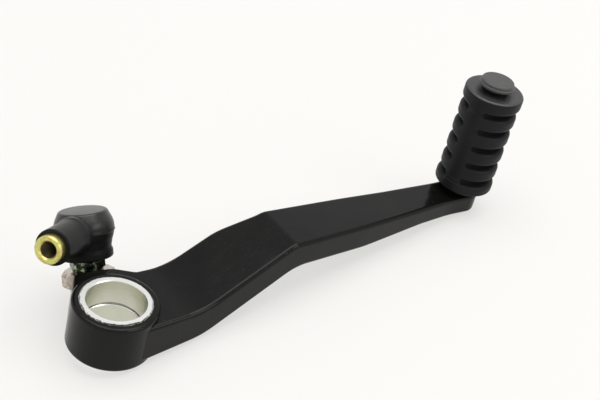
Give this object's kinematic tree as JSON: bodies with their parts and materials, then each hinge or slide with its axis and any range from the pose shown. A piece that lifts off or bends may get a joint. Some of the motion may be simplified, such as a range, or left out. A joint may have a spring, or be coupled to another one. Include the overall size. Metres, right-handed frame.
{
  "type": "gear shift lever",
  "caption": "Cast motorcycle gear shift lever with a bushed pivot boss, a rubber-covered toe peg and a booted ball joint for the shift rod.",
  "frame": {"origin": "on the pivot axis, at the boss's inner face", "axes": "+Z along the pivot axis towards the toe peg's side, +X from the pivot towards the toe peg"},
  "size_m": [0.1811, 0.0583, 0.082],
  "materials": {
    "arm_paint": "gloss black paint on cast aluminium",
    "bush_metal": "fine turned, bright",
    "peg_steel": "satin black coating",
    "peg_rubber": "matte moulded rubber",
    "stud_plating": "greenish-yellow zinc",
    "nut_plating": "clear zinc",
    "spring_steel": "plain spring steel",
    "race_plastic": "natural bearing plastic",
    "socket_plating": "yellow zinc",
    "cap_steel": "plain pressed steel",
    "boot_rubber": "satin moulded rubber"
  },
  "bodies": {
    "root": {"lever_arm": "arm_paint", "pivot_bush_upper": "bush_metal", "pivot_bush_lower": "bush_metal", "toe_peg": "peg_steel", "peg_rubber": "peg_rubber", "ball_stud": "stud_plating", "stud_lock_nut": "nut_plating"},
    "boot_mouth": {"boot_ring": "spring_steel"},
    "races": {"ball_race_lower": "race_plastic", "ball_race_upper": "race_plastic"},
    "socket": {"socket_body": "socket_plating", "closing_cap": "cap_steel", "snap_ring": "spring_steel", "dust_boot": "boot_rubber"}
  },
  "joints": [
    {"name": "ball_swivel", "type": "hinge", "parent": "root", "child": "boot_mouth", "pos_m": [0.005, 0.033, 0.022], "axis": [0.0081, 0.4617, 0.887], "continuous": true},
    {"name": "ball_nod", "type": "hinge", "parent": "boot_mouth", "child": "races", "pos_m": [0.005, 0.033, 0.022], "axis": [0.6074, -0.7069, 0.3624], "range_deg": [-18, 18], "deforming": ["dust_boot"]},
    {"name": "ball_roll", "type": "hinge", "parent": "races", "child": "socket", "pos_m": [0.005, 0.033, 0.022], "axis": [-0.7944, -0.5358, 0.2861], "range_deg": [-15, 15]}
  ]
}
